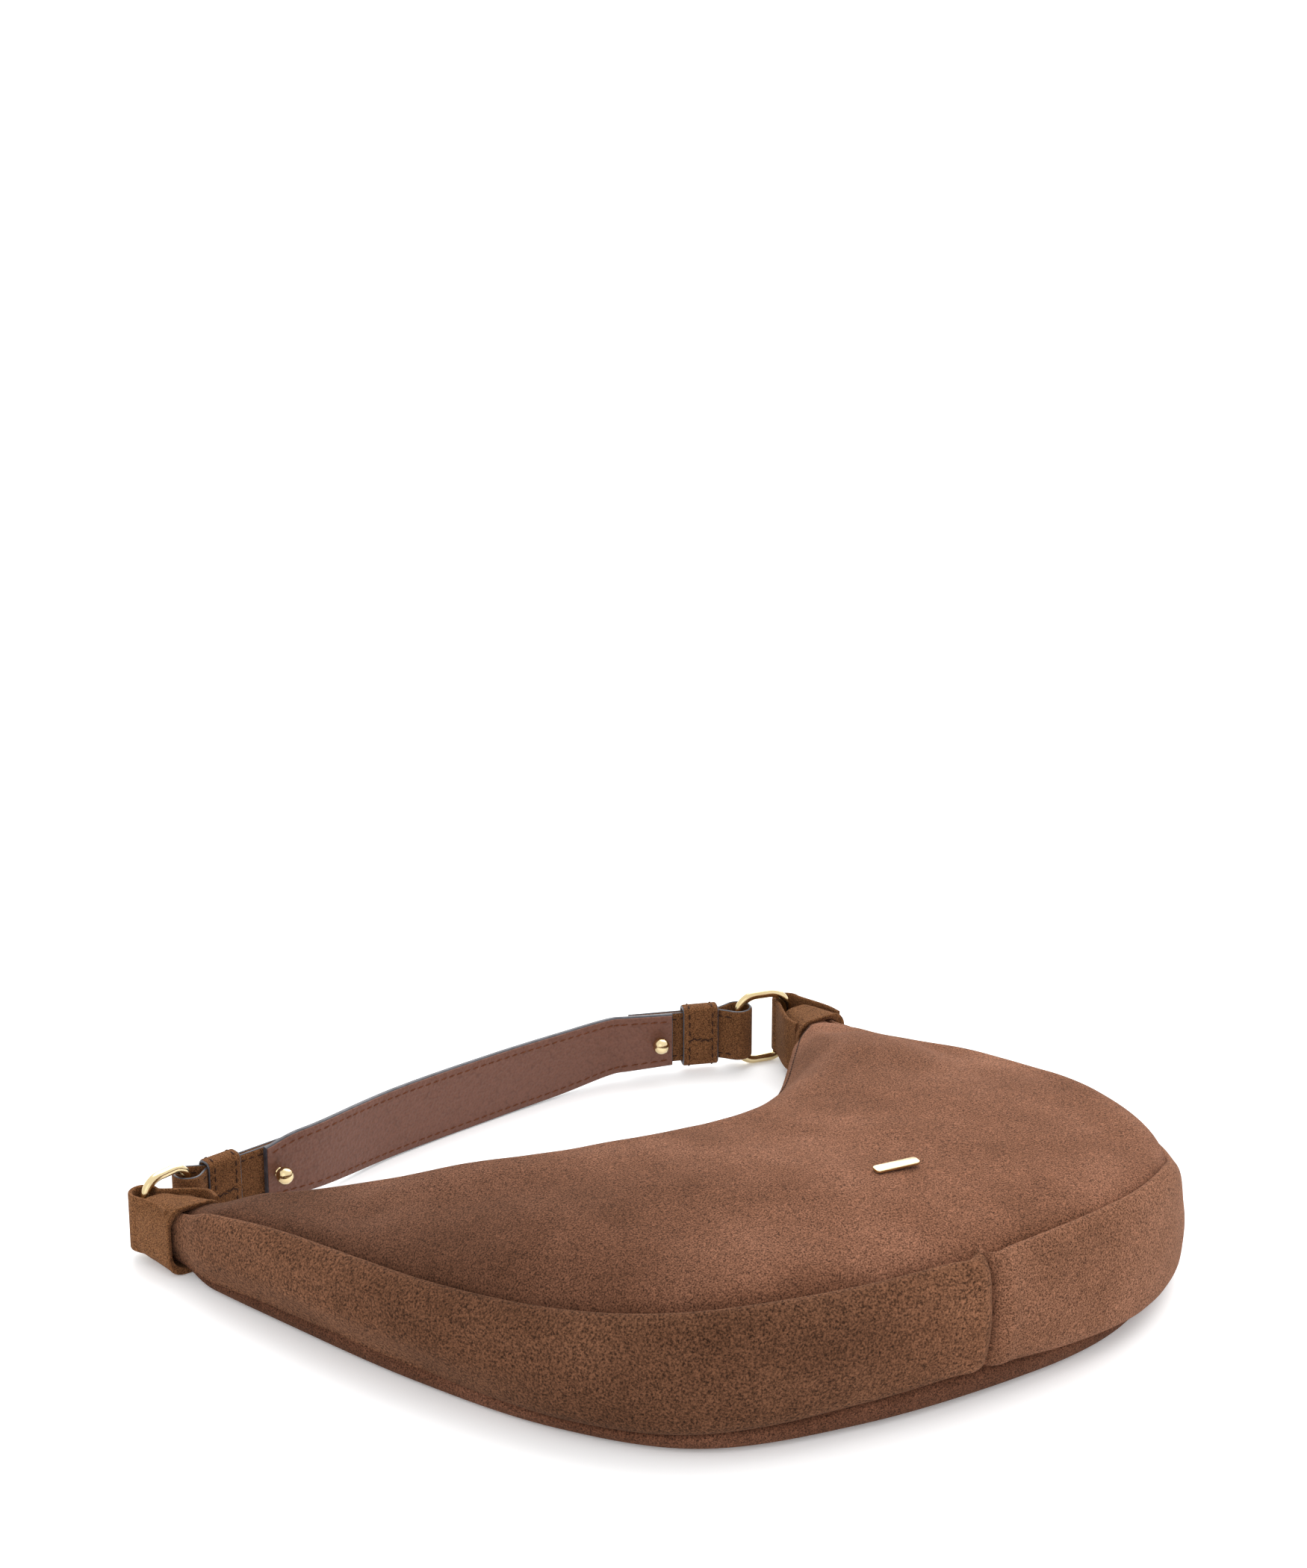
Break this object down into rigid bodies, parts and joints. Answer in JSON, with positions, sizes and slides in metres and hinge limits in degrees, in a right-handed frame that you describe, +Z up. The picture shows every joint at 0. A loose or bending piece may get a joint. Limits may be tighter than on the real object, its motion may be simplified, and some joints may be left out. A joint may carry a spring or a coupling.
{
  "type": "hobo bag",
  "caption": "Slouchy crescent suede hobo bag with a curved gusset, arched zip mouth and a short strap held by metal rings and ball studs.",
  "frame": {"origin": "under the middle of the whole bag, on the surface it lies on", "axes": "+Z up out of the front panel, +X along the line through the two tips, +Y from the belly towards the strap"},
  "size_m": [0.3386, 0.2982, 0.0682],
  "materials": {
    "suede": "napped suede, mottled warm brown",
    "suede_trim": "napped suede, yellower brown",
    "strap_lining": "pebbled grain leather, satin",
    "lining": "plain cotton twill",
    "zip_tape": "woven zip tape",
    "zip_metal": "light gold plating",
    "gold": "polished light gold plating"
  },
  "bodies": {
    "root": {"front_panel": "suede", "back_panel": "suede", "gusset_left": "suede", "gusset_right": "suede", "lining_front": "lining", "lining_back": "lining", "hem_front": "suede_trim", "hem_back": "suede_trim", "zip_tape_front": "zip_tape", "zip_tape_back": "zip_tape", "zip_teeth_front": "zip_metal", "zip_teeth_back": "zip_metal", "zip_stop_left": "zip_metal", "zip_stop_right": "zip_metal", "name_plate": "gold"},
    "tabs": {"left_tab": "suede_trim", "right_tab": "suede_trim"},
    "left_ring": {"left_ring": "gold"},
    "right_ring": {"right_ring": "gold"},
    "strap": {"strap_outer": "suede", "strap_lining": "strap_lining", "left_chape": "suede_trim", "right_chape": "suede_trim", "left_stud": "gold", "right_stud": "gold"},
    "left_keeper": {"left_keeper": "suede_trim"},
    "right_keeper": {"right_keeper": "suede_trim"},
    "zip_slider": {"zip_slider": "gold"},
    "zip_pull": {"zip_pull": "gold"}
  },
  "joints": [
    {"name": "strap_fold", "type": "hinge", "parent": "root", "child": "tabs", "pos_m": [-0.00972, 0.10048, 0.0303], "axis": [1, 0, 0], "range_deg": [0, 110]},
    {"name": "left_ring_turn", "type": "hinge", "parent": "tabs", "child": "left_ring", "pos_m": [-0.16322, 0.11968, 0.0166], "axis": [0, 0, 1], "range_deg": [-6, 6]},
    {"name": "strap_turn", "type": "hinge", "parent": "left_ring", "child": "strap", "pos_m": [-0.14158, 0.12508, 0.0166], "axis": [0, 0, 1], "range_deg": [-7, 7]},
    {"name": "right_ring_turn", "type": "hinge", "parent": "tabs", "child": "right_ring", "pos_m": [0.14378, 0.12368, 0.0166], "axis": [0, 0, 1], "range_deg": [-5.4, 5.4]},
    {"name": "left_keeper_slide", "type": "slide", "parent": "strap", "child": "left_keeper", "axis": [0.9945, 0.105, 0], "range_m": [0, 0.011]},
    {"name": "right_keeper_slide", "type": "slide", "parent": "strap", "child": "right_keeper", "axis": [-0.9197, 0.3927, 0], "range_m": [-0.001, 0.0045]},
    {"name": "zip_slide", "type": "hinge", "parent": "root", "child": "zip_slider", "pos_m": [-0.00772, 0.14568, 0.017], "axis": [0, 0, 1], "range_deg": [-75, 0]},
    {"name": "zip_pull_flip", "type": "hinge", "parent": "zip_slider", "child": "zip_pull", "pos_m": [0.07172, 0.04026, 0.017], "axis": [0, 0, 1], "range_deg": [-150, 0]}
  ],
  "couplings": [
    {"joint": "strap_turn", "follows": "left_ring_turn", "ratio": -1.1547},
    {"joint": "right_ring_turn", "follows": "left_ring_turn", "ratio": 0.8853}
  ]
}
